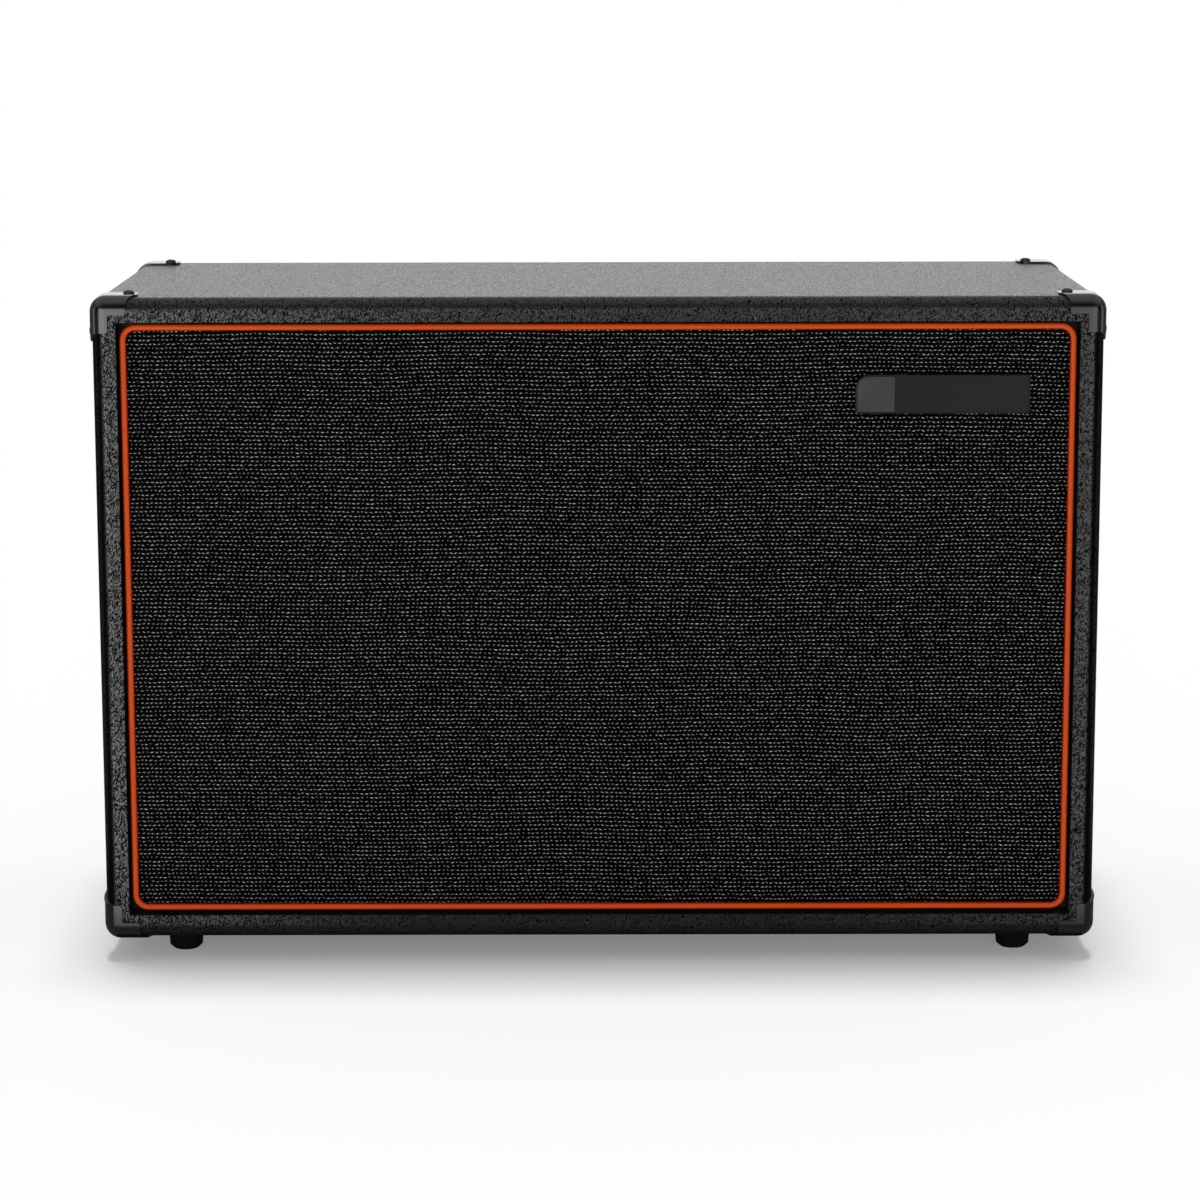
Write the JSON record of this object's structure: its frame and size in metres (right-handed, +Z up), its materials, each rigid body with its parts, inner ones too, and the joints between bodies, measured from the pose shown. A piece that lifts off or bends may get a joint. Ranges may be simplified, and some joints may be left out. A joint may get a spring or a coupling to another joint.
{
  "type": "guitar speaker cabinet",
  "caption": "Guitar speaker cabinet: vinyl-covered plywood box with a piped cloth grille, corner protectors, recessed side handles, a jack dish and drivers bolted behind the baffle.",
  "frame": {"origin": "on the floor under the middle of the box, at the bottom of the rubber feet", "axes": "+Z up, the grille faces -Y, +X to the right of a person who faces the grille"},
  "size_m": [0.7288, 0.3112, 0.489],
  "materials": {
    "plywood": "raw birch plywood",
    "black_board": "painted black",
    "vinyl": "grained black vinyl",
    "grille_cloth": "black woven cloth with silver flecks",
    "piping": "orange piping",
    "black_plastic": "moulded black plastic",
    "rubber": "black rubber",
    "hook_pad": "hook-and-loop pad",
    "black_steel": "black painted steel",
    "zinc_steel": "zinc plated",
    "basket_paint": "cream paint",
    "ferrite": "dark ferrite",
    "label": "plain black disc",
    "paper": "black cone paper",
    "spider_cloth": "resin-dipped cloth",
    "coil": "copper winding on a former",
    "gasket": "black gasket",
    "fibre": "grey fibre board",
    "tinned": "tinned"
  },
  "bodies": {
    "cabinet": {"badge_plate": "black_plastic", "baffle_battens": "plywood", "baffle_board": "black_board", "bottom_panel": "plywood", "corner_protectors": "black_plastic", "corner_screws": "black_steel", "driver_bolts": "zinc_steel", "driver_gaskets": "gasket", "driver_nuts": "zinc_steel", "foot_screws": "black_steel", "grille_board": "black_board", "grille_cloth": "grille_cloth", "grille_pads": "hook_pad", "grille_piping": "piping", "handle_grips": "black_plastic", "handle_screws": "black_steel", "jack_dish": "black_plastic", "left_basket": "basket_paint", "left_handle_dish": "black_plastic", "left_jack": "black_plastic", "left_magnet": "ferrite", "left_side_panel": "plywood", "left_spider": "spider_cloth", "left_surround": "paper", "left_top_plate": "zinc_steel", "left_yoke": "zinc_steel", "lower_rear_panel": "vinyl", "magnet_labels": "label", "mode_switch": "zinc_steel", "rear_battens": "plywood", "rear_screws": "black_steel", "right_basket": "basket_paint", "right_handle_dish": "black_plastic", "right_jack": "black_plastic", "right_magnet": "ferrite", "right_side_panel": "plywood", "right_spider": "spider_cloth", "right_surround": "paper", "right_top_plate": "zinc_steel", "right_yoke": "zinc_steel", "rubber_feet": "rubber", "socket_plate": "black_steel", "terminal_boards": "fibre", "terminal_tags": "tinned", "top_panel": "plywood", "upper_rear_panel": "vinyl", "vinyl_covering": "vinyl"},
    "left_cone_assembly": {"left_cone": "paper", "left_dust_cap": "paper", "left_voice_coil": "coil"},
    "right_cone_assembly": {"right_cone": "paper", "right_dust_cap": "paper", "right_voice_coil": "coil"},
    "switch_bat": {"mode_switch_lever": "zinc_steel"}
  },
  "joints": [
    {"name": "left_cone_travel", "type": "slide", "parent": "cabinet", "child": "left_cone_assembly", "axis": [0, -1, 0], "range_m": [-0.003, 0.003], "stiffness_N_per_m": 7000, "deforming": ["left_surround", "left_spider"]},
    {"name": "right_cone_travel", "type": "slide", "parent": "cabinet", "child": "right_cone_assembly", "axis": [0, -1, 0], "range_m": [-0.003, 0.003], "stiffness_N_per_m": 7000, "deforming": ["right_surround", "right_spider"]},
    {"name": "mode_switch_throw", "type": "hinge", "parent": "cabinet", "child": "switch_bat", "pos_m": [0, 0.1325, 0.4146], "axis": [1, 0, 0], "range_deg": [-24, 0]}
  ]
}
